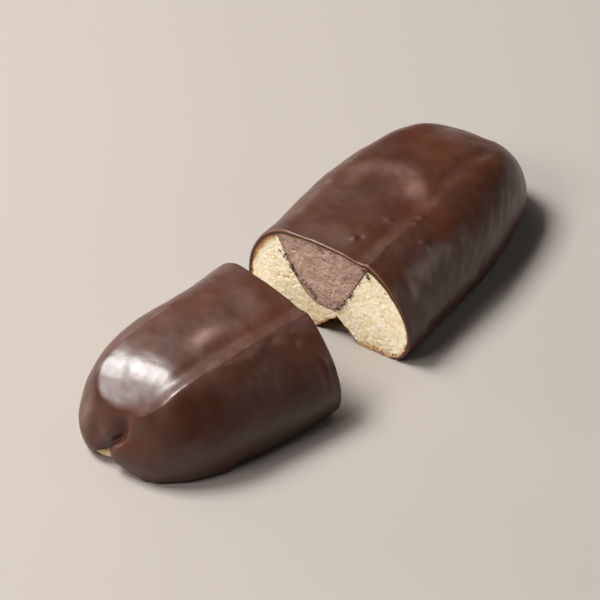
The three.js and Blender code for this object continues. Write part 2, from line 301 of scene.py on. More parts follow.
def makePiece(name, mesh, material, node=None):
    piece = bpy.data.objects.new(name, mesh)
    bpy.context.scene.collection.objects.link(piece)
    mesh.materials.append(material)
    mesh.shade_smooth()
    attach(piece, "root")
    if node:
        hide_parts(node)
    print("made", name, len(mesh.polygons), "faces")


# The coat is one closed wall: an outer sheet and an inner one, joined at the cut and the hem.
coat = {
    "thickness": 1.0, "rows": {"rear": 401, "front": 341},
    "top": 38, "topSpacing": 0.8, "side": 56, "tuck": 16,
    "crestWidth": {"rear": 1.25, "front": 1.9},
    "crestFade": {"rear": (12, 26, 0.15), "front": (30, 42, 0.3)},  # from x, to x, what is left
    "lip": [(0, 0.5), (0, 0.3), (0.03, 0.14), (0.11, 0.04), (0.32, 0)],  # mm behind the cut, share of the thickness
    "hemLip": [(-0.05, 0.05), (-0.11, 0.22), (-0.12, 0.5)],  # mm from the hem, share of the thickness
    "lipReach": 0.6, "lipLowest": 0.1, "clearOfFloor": 0.06,
    "hemWave": 0.8, "hemLowest": 0.3, "hemSpan": 61.0, "footSize": 4.6,
    "footFlare": 1.1, "flareSize": 4.5, "flareHeight": (3, 0.3),
    "unevenness": [(12, 0.26, 2), (5, 0.08, 2), (1.4, 0.014, 2)],  # size in mm, height in mm, octaves
    "reliefFade": (0.5, 0),  # share of the thickness
    "softening": {
        "rounds": 12, "factor": 0.5, "outerShare": 0.01, "behindCut": 0.9, "aboveHem": 1.8,
        "tipRounds": 60, "tipFrom": 0.6, "tipAbove": 16, "tipLeftOf": 5,
    },
    # single marks as (x, across, z), (size along each) and rise, all in mm
    "marks": {
        "rear": [
            ((6.7, 3.4, 28), (0.8, 0.8, 2), 0.35), ((7.8, 4.4, 28), (0.9, 0.9, 2), -0.28),
            ((18, 6.4, 27.5), (0.9, 0.9, 2), 0.3), ((17.2, 7.4, 27.5), (1, 1, 2), -0.12),
            ((24.4, 12.2, 27.2), (1.1, 1.1, 2), 0.3), ((21.5, 12.4, 27.2), (1, 1, 2), 0.24),
            ((18.2, 17.2, 24.6), (1.3, 1.3, 2), 0.3), ((32.9, 7.8, 26.7), (3.4, 2.4, 4), 0.35),
            ((22.1, -18.6, 25.3), (1.4, 3, 3), -0.4), ((31.5, 24.3, 6.6), (3, 3, 3), 0.3),
            ((25.1, 24.1, 4.4), (2.2, 3, 2.4), 0.35), ((5.7, 24.7, 4.4), (3, 3, 3), 0.3),
            ((58, 9, 24), (5, 5, 5), -0.35), ((61, -8, 24), (6, 4, 5), -0.3),
        ],
        "front": [
            ((20.6, 12.6, 27.2), (1.8, 1.2, 2), -0.22), ((12.1, 13, 27), (1.9, 1.2, 2), -0.26),
            ((6.2, 13.2, 27), (1.6, 1.1, 2), -0.22), ((6.8, 15.7, 25), (1.2, 1.2, 2), -0.28),
            ((4.4, 23.1, 15.7), (0.9, 3, 4.5), -0.22), ((2.9, 23.1, 14.7), (0.9, 3, 4.5), 0.15),
            ((26.5, 2.9, 27.6), (4, 3.4, 4), 0.16), ((32.7, -9.6, 27.6), (6, 4.5, 4), -0.18),
            ((34, 18.5, 20), (5, 3, 4), 0.14), ((54.9, -8.2, 12.6), (3, 2.4, 6.5), 0.3),
            ((51, -13, 13), (3, 2.6, 7), -0.2), ((15.5, 19.1, 20.9), (4.5, 3, 3.5), -0.12),
        ],
    },
    # slanting runs of chocolate down the right side of the rear half
    "streaks": {
        "height": 0.05, "length": 6.4, "slant": 1.26, "from": 5, "to": 32, "level": 16.4,
        "wander": 2.4, "wanderSize": 5, "squash": 0.3, "top": (24, 17), "bottom": (1, 6), "side": (14, 20),
    },
    # the bow across the top of the rear half: a low ridge, with a light band of painted highlight along it
    "arch": {
        "x": 37.5, "bend": 0.045, "across": -2.5, "width": 4.6, "rise": 0.26, "dipBehind": 9, "dip": 0.14,
        "wobble": 0.7, "wobbleSize": 5, "onTop": (20, 25), "reach": (14, 8),
        "pale": 0.22, "sheenWidth": 0.7, "sheenShift": 1, "sheenReach": (13, 7), "sheenWander": 0.3,
    },
    # light patches of painted sheen and reflections, as (x, across, z), (size along each), strength
    "sheenSpots": {
        "rear": [
            ((33.5, 5, 27), (3, 2.6, 5), 0.2), ((30.7, -11.5, 27), (4, 2.6, 5), 0.22),
            ((59, 0, 24), (4, 6, 6), 0.1), ((8.1, 20.6, 20), (1, 3, 5), 0.25),
            ((9.5, 24, 13.5), (1.6, 3, 3), 0.25), ((22.5, 22, 18.7), (1.2, 3, 5), 0.14),
            ((32.2, 23, 16.4), (1.6, 3, 6), 0.16), ((25.5, 24.4, 11.1), (1.2, 3, 4), 0.16),
            ((43.7, 22.3, 14.8), (2, 3, 5), 0.12),
        ],
        "front": [
            ((24.5, 1.8, 27), (4.5, 1.9, 4), 0.55), ((55, -9, 12), (3, 2, 7), 0.32),
            ((24.8, 22.4, 14.6), (7, 3, 2.2), 0.12), ((4.4, 23.5, 15), (0.5, 3, 4), 0.2),
            ((44, 21, 10), (6, 4, 3), 0.08),
        ],
    },
    # a faint random bloom, and how much the painted sheen wanders and how light it gets at most
    "pale": {"cloudSize": 6, "cloud": 0.06, "wander": 0.6, "most": 0.6},
    # where the wall shows at the cut, as shares of its thickness, and the heights over which a painted highlight
    # along its top rim fades in
    "edge": {
        "from": 0.05, "full": 0.2, "insideFrom": 0.36, "insideFull": 0.5,
        "grain": 0.5, "ragged": 0.12, "above": (10, 23),
    },
}


def hemHeights(half, v, station):
    length = v["length"]
    spots = np.stack([station * coat["hemSpan"], 0 * station, 0 * station], -1)
    wave = ripple(spots, coat["footSize"], 3, seed=4.2 + half["length"])
    atTip = smooth(hem["tipFrom"] * length, hem["tipFull"] * length, v["x"])
    lift = hem["creaseLift"] * bell(v["placeAcross"] - hem["creaseAcross"], hem["creaseWidth"])
    return np.maximum(coat["hemLowest"], hem["height"] + coat["hemWave"] * wave) + lift * atTip


# One sheet of the coat. kinds and steps give each column's place down the section:
# 0 on the top, 1 on the side, 2 tucked under, 3 on the hem.
def coatSection(half, u, w, insetShare, hemAt, kinds, steps):
    v = stationValues(half, u[:, None], w[:, None], insetShare * coat["thickness"])
    top = v["height"] - v["inset"]
    fill = insetShare * ridge["fill"] * fillShare(v)
    crest = (1 - insetShare) * ridge["rise"] * v["onRight"]
    fadeFrom, fadeTo, faded = coat["crestFade"][half["name"]]
    crestWidth = coat["crestWidth"][half["name"]]
    crest = crest * mix(1, faded, smooth(fadeFrom, fadeTo, v["x"]))
    corner = v["rim"] * v["ridgeShare"]
    shoulder = top + topRise(v, v["ridgeShare"]) - fill
    footShare, widest = v["footShare"], v["widest"]

    acrossTop = corner * steps
    sagged = fill * bell(np.abs(acrossTop) - ridge["across"], ridge["fillWidth"])
    onTop = top + topRise(v, v["ridgeShare"] * steps) - sagged + crest * bell(acrossTop - corner, crestWidth)
    angle = math.pi / 2 * steps
    out, up = np.sin(angle) ** (2 / v["power"]), np.maximum(0, np.cos(angle)) ** (2 / v["power"])
    sideShare = mix(v["ridgeShare"], 1, out)
    onSide = mix(widest, shoulder, up) + crest * bell((sideShare - v["ridgeShare"]) * v["wide"], crestWidth)
    tuckAngle = np.arcsin(np.clip(1 - hemAt / widest, 0, 1)) * steps
    tucked = widest * (1 - np.sin(tuckAngle))
    lipHeight = np.maximum(coat["lipLowest"], hemAt + steps)
    lipShare = mix(footShare, 1, np.sqrt(np.clip(1 - (1 - lipHeight / widest) ** 2, 0, 1)))
    tuckShare = mix(footShare, 1, np.cos(tuckAngle))
    isKind = [kinds == 0, kinds == 1, kinds == 2]
    height = np.select(isKind, [onTop, onSide, tucked], lipHeight)
    share = np.select(isKind, [v["ridgeShare"] * steps, sideShare, tuckShare], lipShare)
    return place(half, v, share, height)


def archBow(x, across):  # distance before or behind the bow's line
    arch = coat["arch"]
    return x - arch["x"] + arch["bend"] * (across - arch["across"]) ** 2


def coatRelief(half, points):  # how far the outer face stands out at each point, in mm
    streaks, arch = coat["streaks"], coat["arch"]
    x, across, z = points.T
    rise = sum(height * ripple(points, size, octaves, seed=3.1 * size + half["length"])
               for size, height, octaves in coat["unevenness"])
    for at, size, height in coat["marks"][half["name"]]:
        rise = rise + height * spot(points, at, size)
    if half["name"] == "rear":
        slant = streaks["slant"] * smooth(streaks["from"], streaks["to"], x)
        along = x + slant * (streaks["level"] - z)
        stretched = np.stack([along, 0 * along, z * streaks["squash"]], -1)
        phase = streaks["wander"] * ripple(stretched, streaks["wanderSize"], 2, seed=8)
        band = smooth(*streaks["top"], z) * smooth(*streaks["bottom"], z) * smooth(*streaks["side"], across)
        rise = rise + streaks["height"] * band * np.sin(2 * math.pi * along / streaks["length"] + phase)
        bow = archBow(x, across)
        onTop = smooth(*arch["onTop"], z) * smooth(*arch["reach"], np.abs(across - arch["across"]))
        wobble = 1 + arch["wobble"] * ripple(points, arch["wobbleSize"], 2, seed=17)
        ridgeLine, behind = bell(bow, arch["width"]), bell(bow - arch["dipBehind"], arch["width"])
        rise = rise + onTop * wobble * (arch["rise"] * ridgeLine - arch["dip"] * behind)
    flare = np.maximum(0, ripple(points * (1, 1, 0), coat["flareSize"], 2, seed=21)) * coat["footFlare"]
    return rise + smooth(*coat["flareHeight"], z) * flare


def bloomAndPaintedSheen(half, points):  # how light the chocolate is painted at each point: a faint random bloom, and painted sheen and reflections in patches and along the bow
    pale, arch = coat["pale"], coat["arch"]
    wander = ripple(points, pale["cloudSize"], 3, seed=33)
    amount = pale["cloud"] * np.maximum(0, wander)
    # patches of painted sheen and reflections
    for at, size, strength in coat["sheenSpots"][half["name"]]:
        amount = amount + strength * spot(points, at, size) * (1 + pale["wander"] * wander)
    if half["name"] == "rear":
        # a band of painted highlight along the bow
        x, across, z = points.T
        line = bell(archBow(x, across) + arch["sheenShift"], arch["sheenWidth"] * arch["width"])
        onTop = smooth(*arch["onTop"], z) * smooth(*arch["sheenReach"], np.abs(across - arch["across"]))
        amount = amount + arch["pale"] * line * onTop * (1 + arch["sheenWander"] * wander)
    return np.clip(amount, 0, pale["most"])


# Softens the outer face away from the cut and the hem, and more where it slopes to the tip.
def roundOff(mesh, length):
    s = coat["softening"]
    bm = bmesh.new()
    bm.from_mesh(mesh)
    under = bm.verts.layers.float["under"]
    outer = [vert for vert in bm.verts
             if vert[under] < s["outerShare"] and vert.co.x > s["behindCut"] and vert.co.z > s["aboveHem"]]
    tip = [vert for vert in outer
           if vert.co.x > s["tipFrom"] * length and vert.co.z > s["tipAbove"] and vert.co.y < s["tipLeftOf"]]
    for verts, rounds in ((tip, s["tipRounds"]), (outer, s["rounds"])):
        for _ in range(rounds):
            bmesh.ops.smooth_vert(bm, verts=verts, factor=s["factor"], use_axis_x=True, use_axis_y=True,
                                  use_axis_z=True)
    bm.to_mesh(mesh)
    bm.free()


def makeCoat(half, material):
    u, w = outline(half["planPower"], coat["rows"][half["name"]])
    lipX, lipShare = np.array(coat["lip"]).T
    inside = u * half["length"] > coat["lipReach"]
    u = np.r_[lipX / half["length"], u[inside], lipX[::-1] / half["length"]]
    rowShare = np.r_[lipShare, np.zeros(inside.sum()), lipShare[::-1]]
    w = np.r_[np.ones(len(lipX)), w[inside], -np.ones(len(lipX))]
    hemOffset, hemShare = np.array(coat["hemLip"]).T
    kinds = np.r_[np.zeros(coat["top"]), np.ones(coat["side"]), np.full(coat["tuck"], 2), np.full(len(hemOffset), 3)]
    topSteps = np.linspace(0, 1, coat["top"]) ** coat["topSpacing"]
    steps = np.r_[topSteps, np.arange(1, coat["side"] + 1) / coat["side"],
                  np.arange(1, coat["tuck"] + 1) / coat["tuck"], hemOffset]
    columnShare = np.r_[np.zeros(coat["top"] + coat["side"] + coat["tuck"]), hemShare]
    outerShare = np.maximum(rowShare[:, None], columnShare[None, :])
    station = np.linspace(0, 1, len(u))[:, None]
    hemAt = hemHeights(half, stationValues(half, u[:, None], w[:, None], 0), station)
    outer = coatSection(half, u, w, outerShare, hemAt, kinds, steps)
    inner = coatSection(half, u, w, 1 - outerShare, hemAt, kinds, steps)[:, ::-1]
    shares = np.concatenate([outerShare, (1 - outerShare)[:, ::-1]], 1)
    shell = meshFromGrid("shell", np.concatenate([outer, inner], 1), {"under": shares})
    mesh = welded([shell], half["name"] + "Coat")
    roundOff(mesh, half["length"])
    rest, under = coordinates(mesh), getValues(mesh, "under")
    relief = coatRelief(half, rest) * smooth(*coat["reliefFade"], under)
    points = rest + coordinates(mesh, "normal") * relief[:, None]
    points[:, 0] = np.maximum(points[:, 0], 0)
    points[:, 2] = np.maximum(points[:, 2], coat["clearOfFloor"])
    mesh.vertices.foreach_set("co", points.ravel())
    wall = coat["edge"]
    deep = under + wall["ragged"] * ripple(points, wall["grain"], 2, seed=14)
    # The cut wall's light brown shows only high up: a painted highlight along the top rim.
    paintedRimHighlight = smooth(*wall["above"], points[:, 2])
    shown = smooth(wall["from"], wall["full"], under) * smooth(wall["insideFull"], wall["insideFrom"], deep)
    setValues(mesh, "edge", shown * paintedRimHighlight)
    setValues(mesh, "inside", smooth(wall["insideFrom"], wall["insideFull"], deep))
    # the pale colour carries the painted sheen and reflections over a faint bloom
    setValues(mesh, "pale", bloomAndPaintedSheen(half, rest))
    intoFrame(mesh, half)
    makePiece(half["name"] + "ChocolateCoat", mesh, material, half["name"] + "_chocolate")


sponge = {
    "rows": {"rear": 151, "front": 131}, "top": 16, "side": 76, "tuck": 34, "sole": 36, "groove": 24, "apex": 4,
    "inset": 0.97, "apexLeft": 0.4, "faceRows": 64, "edgeSamples": 200, "soleBelow": 12,
    "pocket": 2.2, "pocketShare": 0.93, "pocketEdge": 0.1,  # the hollow behind the cut face
    "crumb": {
        "size": 0.9, "depth": 0.07, "mean": 0.6, "sink": 0.12,
        "holeSize": 1.9, "holeDepth": 0.25, "holeEdge": (0.34, 0.08), "poreShadeSpan": (0.3, 0.05),
        "sparseSize": 5, "sparse": (-0.1, 0.5), "soleBelow": 3, "soleShare": 0.5, "soleOut": 0.1,
        "ragged": 0.42, "raggedSize": 0.8, "raggedBehind": (1.4, 0.2), "raggedBelow": (7, 4),
    },
    "crust": {
        "least": 0.25, "thin": 0.7, "thick": 3.3, "wander": 0.7, "low": 0.7, "soft": 0.15, "wanderSize": 2.2,
        "leftFrom": (6, -10), "highFrom": (10, 20), "lowFrom": (7, 1),
        "baked": 0.84, "bakedWander": 0.2, "bakedLeast": 0.6, "bare": 0.5, "bareFrom": 0.9, "bareFull": 0.96,
        "bareAbove": (0.4, 1), "toast": 0.75, "toastBelow": (2.6, 0.6), "toastWander": 1.6, "toastSize": 1.3,
    },
}


def wedgeEdge(side, up):  # one border of the cream on the cut face, from its tip up
    power = wedge["leftPower" if side == "Left" else "rightPower"]
    across = mix(wedge["tip" + side], wedge["top" + side], np.clip(up, 0, 1) ** power)
    return np.stack([0 * up, across, mix(wedge["tipHeight"], wedge["topHeight"], up)], -1)


def column(count, start=1):  # the steps of one block of columns
    return np.arange(start, count + 1)[None, :] / count


# The whole outline under the coat, from the middle of the top to the middle of the sole.
def coreSection(half, u, w):
    s = sponge
    v = stationValues(half, u[:, None], w[:, None], s["inset"])
    top = v["height"] - v["inset"]
    corner = v["rim"] * v["ridgeShare"]
    fill = ridge["fill"] * fillShare(v)
    t = column(s["top"] - 1, 0)
    sagged = fill * bell(np.abs(corner * t) - ridge["across"], ridge["fillWidth"])
    blocks = [place(half, v, v["ridgeShare"] * t, top + topRise(v, v["ridgeShare"] * t) - sagged)]
    angle = math.pi / 2 * column(s["side"])
    out, up = np.sin(angle) ** (2 / v["power"]), np.maximum(0, np.cos(angle)) ** (2 / v["power"])
    shoulder = top + topRise(v, v["ridgeShare"]) - fill
    blocks.append(place(half, v, mix(v["ridgeShare"], 1, out), mix(v["widest"], shoulder, up)))
    angle = math.pi / 2 * column(s["tuck"])
    blocks.append(place(half, v, mix(v["footShare"], 1, np.cos(angle)), v["widest"] * (1 - np.sin(angle))))
    lip = (groove["halfWidth"] + mix(-v["centre"], v["centre"], v["right"])) / v["wide"]
    apex = mix(s["apexLeft"] * lip, v["centre"] / v["wide"], v["right"])
    blocks.append(place(half, v, mix(v["footShare"], lip, column(s["sole"])), 0, True))
    blocks.append(place(half, v, mix(lip, apex, column(s["groove"] - s["apex"])), 0, True))
    blocks.append(place(half, v, mix(apex, 0, column(s["apex"])), 0, True))
    return np.concatenate(blocks, 1)


def alongCurve(points):
    steps = np.linalg.norm(np.diff(points, axis=0), axis=1)
    return np.r_[0, np.cumsum(steps)]


# The cut face as a grid from the section's outline to the border of the cream.
def spongeFace(right, left):
    ring = np.concatenate([left, right[-2::-1]])  # top, left, sole, right, top
    first = np.argmax(ring[:, 1] < wedge["topLeft"])
    last = len(ring) - 1 - np.argmax(ring[::-1, 1] > wedge["topRight"])
    outer = ring[first:last + 1]
    middleTip = 0.5 * (wedge["tipLeft"] + wedge["tipRight"])
    toTip = np.where(outer[:, 2] > sponge["soleBelow"], np.inf, np.abs(outer[:, 1] - middleTip))
    middle = np.argmin(toTip)  # the sole's vertex below the tip
    up = np.linspace(1, 0, sponge["edgeSamples"])
    leftEdge, rightEdge = wedgeEdge("Left", up), wedgeEdge("Right", up)[::-1]
    leftEdge[0], rightEdge[-1] = outer[0], outer[-1]
    tip = np.array([0, middleTip, wedge["tipHeight"]])
    leftEdge, rightEdge = np.vstack([leftEdge, tip]), np.vstack([tip, rightEdge])
    inner = []
    for edge, part in ((leftEdge, outer[:middle + 1]), (rightEdge, outer[middle:])):
        at, wanted = alongCurve(edge), alongCurve(part)
        wanted = wanted / wanted[-1] * at[-1]
        inner.append(np.stack([np.interp(wanted, at, edge[:, k]) for k in range(3)], -1))
    inner = np.concatenate([inner[0], inner[1][1:]])
    t = np.linspace(0, 1, sponge["faceRows"])[None, :, None]
    return mix(outer[:, None, :], inner[:, None, :], t)


def spongeBody(half):  # the outside, the cut face and the hollow behind it, closed
    u, w = outline(half["planPower"], sponge["rows"][half["name"]])
    body = coreSection(half, u, w)
    face = spongeFace(body[0], body[-1])
    outside = np.zeros(body.shape[:2])
    toBorder = np.linalg.norm(face - face[:, :1], axis=-1)
    mesh = welded([
        meshFromGrid("body", body, {"onFace": outside, "toBorder": outside}),
        meshFromGrid("face", face, {"onFace": np.ones(face.shape[:2]), "toBorder": toBorder}),
    ], half["name"] + "Sponge")
    bm = bmesh.new()
    bm.from_mesh(mesh)
    rim = [edge for edge in bm.edges if edge.is_boundary]
    made = bmesh.ops.extrude_edge_only(bm, edges=rim)["geom"]
    back = [vert for vert in made if isinstance(vert, bmesh.types.BMVert)]
    centre = Vector(np.mean([vert.co for vert in back], axis=0))
    for vert in back:
        vert.co = centre + (vert.co - centre) * sponge["pocketShare"] + Vector((sponge["pocket"], 0, 0))
    closeUp(bm, [edge for edge in made if isinstance(edge, bmesh.types.BMEdge)], mesh)
    return mesh


def makeSponge(half, material):
    c, k = sponge["crumb"], sponge["crust"]
    mesh = spongeBody(half)
    points, normals = coordinates(mesh), coordinates(mesh, "normal")
    onFace, toBorder = getValues(mesh, "onFace") > 0.5, getValues(mesh, "toBorder")
    grains = ripple(points, c["size"], 2, seed=5 + half["length"])
    holes = cellDistance(points, c["holeSize"], 3.7)
    sparse = smooth(*c["sparse"], ripple(points, c["sparseSize"], 2, seed=40))
    depth = c["depth"] * (grains + c["mean"]) + c["holeDepth"] * smooth(*c["holeEdge"], holes) * sparse
    depth = np.maximum(0, depth) + c["sink"]
    onSole = points[:, 2] < c["soleBelow"]
    amount = np.where(onFace, depth, np.where(onSole, c["soleShare"] * depth - c["soleOut"], 0))
    inPocket = (points[:, 0] > sponge["pocket"] - sponge["pocketEdge"]) & onFace
    points = points - normals * np.where(inPocket, 0, amount)[:, None]
    points[:, 0] = np.maximum(points[:, 0], 0)
    points[:, 2] = np.maximum(points[:, 2], 0)
    atCut = smooth(*c["raggedBehind"], points[:, 0]) * smooth(*c["raggedBelow"], points[:, 2])
    for axis, seed in ((1, 71), (2, 83)):
        points[:, axis] += c["ragged"] * atCut * ripple(points, c["raggedSize"], 2, seed)
    points[:, 2] = np.maximum(points[:, 2], 0)
    mesh.vertices.foreach_set("co", points.ravel())

    x, across, z = points.T
    left = smooth(*k["leftFrom"], across) * smooth(*k["highFrom"], z)
    wander = ripple(points, k["wanderSize"], 3, seed=60)
    width = mix(k["thin"], k["thick"], left) + k["wander"] * wander + k["low"] * smooth(*k["lowFrom"], z)
    width = np.maximum(k["least"], width)
    atEnd = smooth(k["bareFrom"] * half["length"], k["bareFull"] * half["length"], x)
    bare = atEnd * smooth(*k["bareAbove"], z)
    baked = np.clip(k["baked"] + k["bakedWander"] * wander, k["bakedLeast"], 1) * (1 - k["bare"] * bare)
    brown = np.where(onFace, smooth(width, k["soft"] * width, toBorder), baked)
    uneven = k["toastWander"] * ripple(points, k["toastSize"], 3, seed=90)
    toasted = k["toast"] * smooth(*k["toastBelow"], z - uneven) * onFace
    setValues(mesh, "crust", np.maximum(brown, np.clip(toasted, 0, 1)))
    # The pits are painted in the darker pore colour: painted shade in the pores.
    setValues(mesh, "poreShade", np.where(onFace, smooth(*c["poreShadeSpan"], holes) * sparse, 0))
    intoFrame(mesh, half)
    makePiece(half["name"] + "SpongeCake", mesh, material, half["name"] + "_sponge")


cream = {
    "across": 120, "up": 96, "upSpacing": 0.9, "overlap": 0.15, "topAbove": 18, "crownPower": 4, "faceWithin": 1e-3,
    "back": 14, "reach": 0.8, "least": 0.03, "ceiling": 25.4, "backDown": 1.2, "thinnest": 1,
    "roomFrom": 0.55, "roomFull": 0.9,
    "sink": 0.05, "rough": 0.1, "roughSize": 1.1, "roughMean": 0.5,
    "pitSize": 1.6, "pitDepth": 0.35, "pitEdge": (0.3, 0.06), "pitShadeSpan": (0.28, 0.05),
    "sparseSize": 3.4, "sparse": (0.0, 0.45),
    "borderDark": 0.55, "borderWide": (0.75, 0.1), "borderRagged": 0.5, "borderGrain": 0.55, "borderOut": 0.2,
    "borderSides": 9, "borderTop": 16,
}


def creamFace(half):  # points of the cut face and how far each lies across and up
    s = cream
    body = coreSection(half, np.array([0.0, 0.0]), np.array([1.0, -1.0]))
    ring = np.concatenate([body[1][::-1], body[0][1:]])
    high = ring[ring[:, 2] > s["topAbove"]]
    order = np.argsort(high[:, 1], kind="stable")
    topAcross, topZ = high[order, 1], high[order, 2]
    b = np.linspace(0, 1, s["up"]) ** s["upSpacing"]
    left, right = wedgeEdge("Left", b), wedgeEdge("Right", b)
    for edge, top in ((left, wedge["topLeft"]), (right, wedge["topRight"])):
        edge[:, 2] = mix(wedge["tipHeight"], np.interp(top, topAcross, topZ), b)
    left[:, 1] -= s["overlap"]
    right[:, 1] += s["overlap"]
    a = np.linspace(0, 1, s["across"])[:, None]
    across = mix(left[None, :, 1], right[None, :, 1], a)
    z = mix(left[None, :, 2], right[None, :, 2], a)
    crownZ = np.interp(across[:, -1], topAcross, topZ)
    z = z + (crownZ - z[:, -1])[:, None] * b[None, :] ** s["crownPower"]
    z[:, 0] -= s["overlap"]
    return np.stack([0 * z, across, z], -1), a + 0 * z, b[None, :] + 0 * z


def makeCream(half, material):
    s = cream
    face, a, b = creamFace(half)
    mesh = meshFromGrid("cream", face, {"a": a, "b": b})
    bm = bmesh.new()
    bm.from_mesh(mesh)
    length, low = half["length"], wedge["tipHeight"]
    loop = [edge for edge in bm.edges if edge.is_boundary]
    reach = length * s["reach"]

    def ceiling(t):  # the height that the coat leaves free, a share t of the way back
        x = reach * t
        fall = float(quarter(x / (length * half["fallReach"]), half["fallPower"]))
        room = half["creaseDrop"] * float(smooth(s["roomFrom"] * length, s["roomFull"] * length, x))
        return max(low + s["thinnest"], fall * s["ceiling"] - s["backDown"] * t - room)

    def breadth(t):
        return max(s["least"], float(quarter(t, wedge["narrowPower"])))

    for step in range(1, s["back"] + 1):
        made = bmesh.ops.extrude_edge_only(bm, edges=loop)["geom"]
        loop = [item for item in made if isinstance(item, bmesh.types.BMEdge)]
        t = math.sin(math.pi / 2 * step / s["back"])
        before = math.sin(math.pi / 2 * (step - 1) / s["back"])
        narrow = breadth(t) / breadth(before)
        lower = (ceiling(t) - low) / (ceiling(before) - low)
        for vert in (item for item in made if isinstance(item, bmesh.types.BMVert)):
            vert.co = Vector((reach * t, vert.co.y * narrow, low + (vert.co.z - low) * lower))
    closeUp(bm, loop, mesh)
    points = coordinates(mesh)
    onFace = points[:, 0] < s["faceWithin"]
    rough = ripple(points, s["roughSize"], 3, seed=9 + length)
    cells = cellDistance(points, s["pitSize"], 1.3)
    sparse = smooth(*s["sparse"], ripple(points, s["sparseSize"], 2, seed=31))
    pits = s["pitDepth"] * smooth(*s["pitEdge"], cells) * sparse
    depth = s["sink"] + s["rough"] * (rough + s["roughMean"]) + pits
    points[:, 0] += np.where(onFace, np.maximum(0, depth), 0)
    mesh.vertices.foreach_set("co", points.ravel())
    grain = ripple(points, s["borderGrain"], 2, seed=51)
    a, b = getValues(mesh, "a"), getValues(mesh, "b")
    # The borders get a ragged dark line, partly chocolate crumbs and partly painted shade in the gaps, and the pits
    # a painted shade.
    border = np.minimum(np.minimum(a, 1 - a) * s["borderSides"], (1 - b) * s["borderTop"])
    uneven = border + s["borderRagged"] * grain + s["borderOut"]
    line = s["borderDark"] * smooth(*s["borderWide"], uneven)
    setValues(mesh, "shadeAndCrumbs", np.where(onFace, np.maximum(line, smooth(*s["pitShadeSpan"], cells) * sparse), 0))
    intoFrame(mesh, half)
    makePiece(half["name"] + "ChocolateCream", mesh, material, half["name"] + "_cream")


crumbs = {
    # runs of crumbs as (from, to) in (across, z), how many, smallest and largest size in mm
    "runs": [
        ((-15.2, 20.5), (-3.4, 9.4), 40, 0.25, 0.8), ((-12.5, 17.5), (-8.5, 13), 14, 0.35, 0.95),
        ((2.2, 8.6), (7.4, 16.5), 26, 0.35, 0.95), ((-2.8, 8.6), (2.6, 8.4), 8, 0.2, 0.5),
        ((7.6, 17), (11.2, 24.2), 10, 0.15, 0.35), ((-17, 24.2), (-6, 26.4), 14, 0.2, 0.42),
        ((-6, 26.4), (10.4, 25.6), 22, 0.15, 0.36), ((10.6, 25.8), (12.4, 23.6), 9, 0.7, 1.15),
        ((19.6, 1.5), (21, 1.7), 3, 0.5, 0.8), ((13, 1.2), (18, 0.9), 5, 0.25, 0.5),
    ],
    "spread": 0.42, "spreadExtra": 0.4, "outFrom": -0.1, "outTo": 0.22, "onFloor": 0.6, "pale": 0.3,
    "stretchLeast": 0.7, "stretchMore": 0.6, "roughness": 0.35, "lumps": 2.6, "lumpShift": 7,
}


# Specks of chocolate that the knife left along the borders of the cream.
def makeCrumbs(half, material):
    s = crumbs
    bm = bmesh.new()
    for start, end, count, small, large in s["runs"]:
        for _ in range(count):
            t, size = rng.random(), small + (large - small) * rng.random() ** 2
            strewn = s["spread"] * rng.normal(size=2) * min(1, size + s["spreadExtra"])
            across, z = mix(np.array(start), np.array(end), t) + strewn
            at = Vector((rng.uniform(s["outFrom"], s["outTo"]), across, max(z, s["onFloor"] * size)))
            made = bmesh.ops.create_icosphere(bm, subdivisions=2, radius=size / 2)["verts"]
            stretch = Vector(s["stretchLeast"] + s["stretchMore"] * rng.random(3))
            turn = Matrix.Rotation(rng.uniform(0, math.tau), 3, Vector(rng.normal(size=3)).normalized())
            for vert in made:
                bump = 1 + s["roughness"] * noise.noise(vert.co * (s["lumps"] / size) + at * s["lumpShift"])
                vert.co = at + turn @ (vert.co * stretch) * bump
    mesh = bpy.data.meshes.new(half["name"] + "Crumbs")
    bm.to_mesh(mesh)
    bm.free()
    setValues(mesh, "pale", np.full(len(mesh.vertices), s["pale"]))
    intoFrame(mesh, half)
    makePiece(half["name"] + "CutCrumbs", mesh, material)


def linear(red, green, blue):  # from the screen's numbers, 0 to 255
    def one(c):
        c /= 255
        return c / 12.92 if c <= 0.04045 else ((c + 0.055) / 1.055) ** 2.4
    return (one(red), one(green), one(blue), 1)


def newMaterial(name):
    material = bpy.data.materials.new(name)
    material.use_nodes = True
    nodes = material.node_tree.nodes
    return material, nodes, material.node_tree.links, nodes["Principled BSDF"]


def addNoise(nodes, links, coordinate, size, detail=4, roughness=0.55, distortion=0):
    texture = nodes.new("ShaderNodeTexNoise")
    texture.inputs["Scale"].default_value = 1 / (size * mm)
    texture.inputs["Detail"].default_value = detail
    texture.inputs["Roughness"].default_value = roughness
    texture.inputs["Distortion"].default_value = distortion
    links.new(coordinate, texture.inputs["Vector"])
    return texture.outputs["Fac"]


# A ramp through the named colours of a look, each at its level of the value.
def addRamp(nodes, links, value, look, names, levels):
    ramp = nodes.new("ShaderNodeValToRGB")
    elements = ramp.color_ramp.elements
    while len(elements) < len(names):
        elements.new(0.5)
    for element, name, level in zip(elements, names, levels):
        element.position = level
        element.color = linear(*look[name])
    links.new(value, ramp.inputs["Fac"])
    return ramp.outputs["Color"]


def addRange(nodes, links, value, low, high, toLow, toHigh):
    node = nodes.new("ShaderNodeMapRange")
    node.interpolation_type = "SMOOTHSTEP"
    for key, number in (("From Min", low), ("From Max", high), ("To Min", toLow), ("To Max", toHigh)):
        node.inputs[key].default_value = number
    links.new(value, node.inputs["Value"])
    return node.outputs["Result"]


